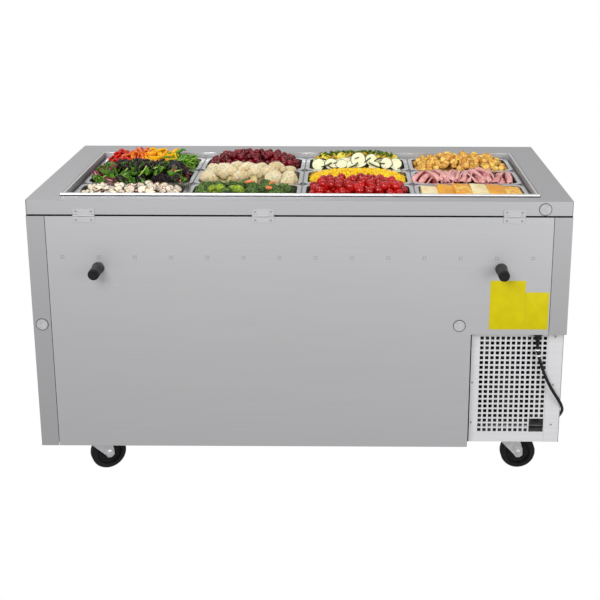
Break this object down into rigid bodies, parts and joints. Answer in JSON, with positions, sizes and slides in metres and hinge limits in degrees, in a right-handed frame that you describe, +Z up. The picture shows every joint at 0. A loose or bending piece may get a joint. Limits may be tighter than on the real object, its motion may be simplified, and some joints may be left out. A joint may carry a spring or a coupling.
{
  "type": "mobile salad bar",
  "caption": "Stainless refrigerated serving cabinet on swivel casters, with a hinged deck framing a cold well of lift-out food pans and a perforated machine compartment grille.",
  "frame": {"origin": "on the floor, under the middle of the bounding box (the free cord left out)", "axes": "+X along the cabinet, towards the machine compartment; +Y from the service side to the customer side; +Z up"},
  "size_m": [1.5423, 0.7944, 0.846],
  "materials": {
    "cabinet_steel": "brushed stainless sheet, satin",
    "deck_steel": "brushed stainless sheet, satin",
    "lip_steel": "polished stainless edge",
    "grille_steel": "perforated stainless sheet",
    "well_steel": "satin stainless",
    "pan_steel": "drawn stainless, bright",
    "hinge_steel": "stainless, plain",
    "screw_steel": "stainless screw heads",
    "seal": "black seal, matt",
    "foam": "foamed insulation, pale",
    "bumper_post": "turned metal post",
    "bumper_rubber": "grey rubber",
    "hole_plug": "grey snap-in plug",
    "zinc": "bright zinc plate",
    "black_enamel": "black enamel, semi-gloss",
    "coil_metal": "finned coil, dull",
    "blade_metal": "pressed sheet, plain",
    "copper": "drawn tube, dull",
    "drain_plastic": "pale plastic",
    "black_plastic": "black moulded, fine grain",
    "rocker_plastic": "green translucent rocker",
    "wheel_tread": "black moulded rubber",
    "cord_jacket": "black flexible jacket"
  },
  "bodies": {
    "cabinet": {"base_frame": "cabinet_steel", "rear_panel": "cabinet_steel", "left_side_panel": "cabinet_steel", "right_side_panel": "cabinet_steel", "front_panel": "cabinet_steel", "front_louvre": "cabinet_steel", "corner_post": "cabinet_steel", "compartment_divider": "cabinet_steel", "rear_grille": "grille_steel", "top_gasket": "seal", "well_liner": "well_steel", "well_insulation": "foam", "pan_support": "well_steel", "hinge_lower_leaves": "hinge_steel", "panel_screws": "screw_steel", "bumper_posts": "bumper_post", "bumper_tips": "bumper_rubber", "body_plugs": "hole_plug", "condensing_tray": "zinc", "compressor": "black_enamel", "condenser_coil": "coil_metal", "fan_shroud": "black_enamel", "fan_motor": "zinc", "refrigerant_lines": "copper", "drain_pipe": "drain_plastic", "electrical_box": "black_enamel", "thermostat": "black_plastic", "switch_frame": "black_plastic", "caster_plates": "zinc", "strain_relief": "cord_jacket", "supply_cord": "cord_jacket", "plug": "cord_jacket"},
    "deck": {"deck_top": "deck_steel", "deck_lip": "lip_steel", "hinge_upper_leaves": "hinge_steel", "hinge_upper_screws": "screw_steel", "deck_plug": "hole_plug"},
    "fan": {"fan_blade": "blade_metal"},
    "rocker": {"power_rocker": "rocker_plastic"},
    "near_pan_1": {"pan_near_1": "pan_steel"},
    "middle_pan_1": {"pan_middle_1": "pan_steel"},
    "far_pan_1": {"pan_far_1": "pan_steel"},
    "near_pan_2": {"pan_near_2": "pan_steel"},
    "middle_pan_2": {"pan_middle_2": "pan_steel"},
    "far_pan_2": {"pan_far_2": "pan_steel"},
    "near_pan_3": {"pan_near_3": "pan_steel"},
    "middle_pan_3": {"pan_middle_3": "pan_steel"},
    "far_pan_3": {"pan_far_3": "pan_steel"},
    "near_pan_4": {"pan_near_4": "pan_steel"},
    "middle_pan_4": {"pan_middle_4": "pan_steel"},
    "far_pan_4": {"pan_far_4": "pan_steel"},
    "swivel_near_left": {"fork_near_left": "zinc"},
    "roller_near_left": {"wheel_near_left": "wheel_tread"},
    "swivel_near_right": {"fork_near_right": "zinc"},
    "roller_near_right": {"wheel_near_right": "wheel_tread"},
    "swivel_far_left": {"fork_far_left": "zinc"},
    "roller_far_left": {"wheel_far_left": "wheel_tread"},
    "swivel_far_right": {"fork_far_right": "zinc"},
    "roller_far_right": {"wheel_far_right": "wheel_tread"}
  },
  "joints": [
    {"name": "deck_hinge", "type": "hinge", "parent": "cabinet", "child": "deck", "pos_m": [0, -0.33285, 0.7955], "axis": [1, 0, 0], "range_deg": [0, 85]},
    {"name": "fan_spin", "type": "hinge", "parent": "cabinet", "child": "fan", "pos_m": [0.598, 0.26475, 0.2575], "axis": [0, 1, 0], "continuous": true},
    {"name": "rocker_tilt", "type": "hinge", "parent": "cabinet", "child": "rocker", "pos_m": [0.65, 0.38675, 0.509], "axis": [0, 0, -1], "range_deg": [0, 20]},
    {"name": "lift_near_1", "type": "slide", "parent": "cabinet", "child": "near_pan_1", "axis": [0, 0, 1], "range_m": [0, 0.2]},
    {"name": "lift_middle_1", "type": "slide", "parent": "cabinet", "child": "middle_pan_1", "axis": [0, 0, 1], "range_m": [0, 0.2]},
    {"name": "lift_far_1", "type": "slide", "parent": "cabinet", "child": "far_pan_1", "axis": [0, 0, 1], "range_m": [0, 0.2]},
    {"name": "lift_near_2", "type": "slide", "parent": "cabinet", "child": "near_pan_2", "axis": [0, 0, 1], "range_m": [0, 0.2]},
    {"name": "lift_middle_2", "type": "slide", "parent": "cabinet", "child": "middle_pan_2", "axis": [0, 0, 1], "range_m": [0, 0.2]},
    {"name": "lift_far_2", "type": "slide", "parent": "cabinet", "child": "far_pan_2", "axis": [0, 0, 1], "range_m": [0, 0.2]},
    {"name": "lift_near_3", "type": "slide", "parent": "cabinet", "child": "near_pan_3", "axis": [0, 0, 1], "range_m": [0, 0.2]},
    {"name": "lift_middle_3", "type": "slide", "parent": "cabinet", "child": "middle_pan_3", "axis": [0, 0, 1], "range_m": [0, 0.2]},
    {"name": "lift_far_3", "type": "slide", "parent": "cabinet", "child": "far_pan_3", "axis": [0, 0, 1], "range_m": [0, 0.2]},
    {"name": "lift_near_4", "type": "slide", "parent": "cabinet", "child": "near_pan_4", "axis": [0, 0, 1], "range_m": [0, 0.2]},
    {"name": "lift_middle_4", "type": "slide", "parent": "cabinet", "child": "middle_pan_4", "axis": [0, 0, 1], "range_m": [0, 0.2]},
    {"name": "lift_far_4", "type": "slide", "parent": "cabinet", "child": "far_pan_4", "axis": [0, 0, 1], "range_m": [0, 0.2]},
    {"name": "swivel_near_left", "type": "hinge", "parent": "cabinet", "child": "swivel_near_left", "pos_m": [-0.606, -0.27325, 0.11], "axis": [0, 0, 1], "continuous": true},
    {"name": "roll_near_left", "type": "hinge", "parent": "swivel_near_left", "child": "roller_near_left", "pos_m": [-0.57544, -0.25834, 0.051], "axis": [-0.4384, 0.8988, 0], "continuous": true},
    {"name": "swivel_near_right", "type": "hinge", "parent": "cabinet", "child": "swivel_near_right", "pos_m": [0.606, -0.24525, 0.11], "axis": [0, 0, 1], "continuous": true},
    {"name": "roll_near_right", "type": "hinge", "parent": "swivel_near_right", "child": "roller_near_right", "pos_m": [0.64, -0.24525, 0.051], "axis": [0, 1, 0], "continuous": true},
    {"name": "swivel_far_left", "type": "hinge", "parent": "cabinet", "child": "swivel_far_left", "pos_m": [-0.606, 0.33075, 0.11], "axis": [0, 0, 1], "continuous": true},
    {"name": "roll_far_left", "type": "hinge", "parent": "swivel_far_left", "child": "roller_far_left", "pos_m": [-0.572, 0.33075, 0.051], "axis": [0, 1, 0], "continuous": true},
    {"name": "swivel_far_right", "type": "hinge", "parent": "cabinet", "child": "swivel_far_right", "pos_m": [0.606, 0.33075, 0.11], "axis": [0, 0, 1], "continuous": true},
    {"name": "roll_far_right", "type": "hinge", "parent": "swivel_far_right", "child": "roller_far_right", "pos_m": [0.64, 0.33075, 0.051], "axis": [0, 1, 0], "continuous": true}
  ]
}
